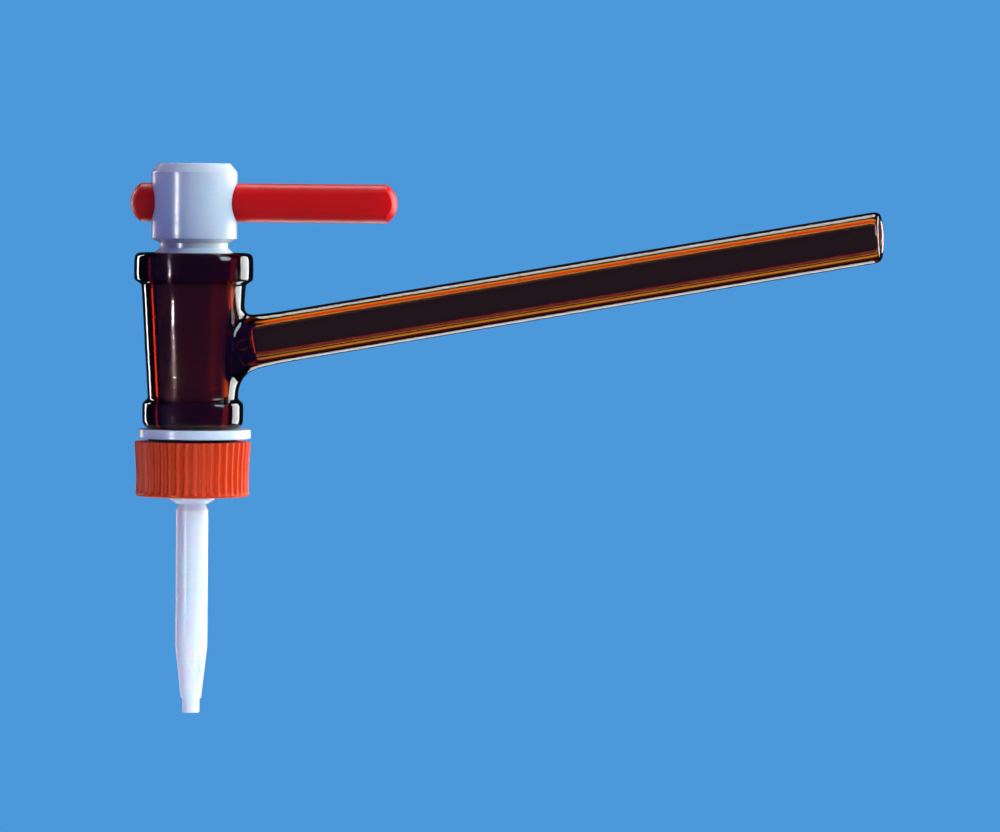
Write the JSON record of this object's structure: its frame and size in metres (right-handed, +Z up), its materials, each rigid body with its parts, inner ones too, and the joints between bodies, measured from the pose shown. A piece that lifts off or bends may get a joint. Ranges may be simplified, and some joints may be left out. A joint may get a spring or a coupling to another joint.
{
  "type": "glass stopcock",
  "caption": "Amber glass stopcock with a sloping side tube, a turning plug with a red lever, an orange nut and a push-in outlet tip.",
  "frame": {"origin": "centre of the outlet tip's end face, on the plug's axis", "axes": "+Z up along the plug's axis, +X towards the side tube, which rises at 10 degrees, +Y away from the front view"},
  "size_m": [0.1189, 0.0188, 0.0863],
  "materials": {
    "amber_glass": "fire-polished dark amber borosilicate glass",
    "white_ptfe": "turned, faintly waxy and slightly translucent",
    "red_plastic": "smooth moulded, semi-gloss",
    "black_rubber": "satin",
    "orange_plastic": "moulded, fluted, semi-gloss"
  },
  "bodies": {
    "barrel": {"glass_barrel": "amber_glass"},
    "plug": {"plug": "white_ptfe", "lever": "red_plastic"},
    "seal": {"washer": "white_ptfe", "o_ring": "black_rubber"},
    "nut": {"nut": "orange_plastic"},
    "tip": {"outlet_tip": "white_ptfe"}
  },
  "joints": [
    {"name": "plug_turn", "type": "hinge", "parent": "barrel", "child": "plug", "pos_m": [0, 0, 0.05671], "axis": [0, 0, 1], "continuous": true},
    {"name": "nut_turn", "type": "hinge", "parent": "seal", "child": "nut", "pos_m": [0, 0, 0.03833], "axis": [0, 0, -1], "range_deg": [0, 720]},
    {"name": "seal_slide", "type": "slide", "parent": "plug", "child": "seal", "axis": [0, 0, -1], "range_m": [0, 0.002]},
    {"name": "tip_pull", "type": "slide", "parent": "plug", "child": "tip", "axis": [0, 0, -1], "range_m": [0, 0.008]}
  ],
  "couplings": [
    {"joint": "seal_slide", "follows": "nut_turn", "m_per_rad": 0.00015915}
  ]
}
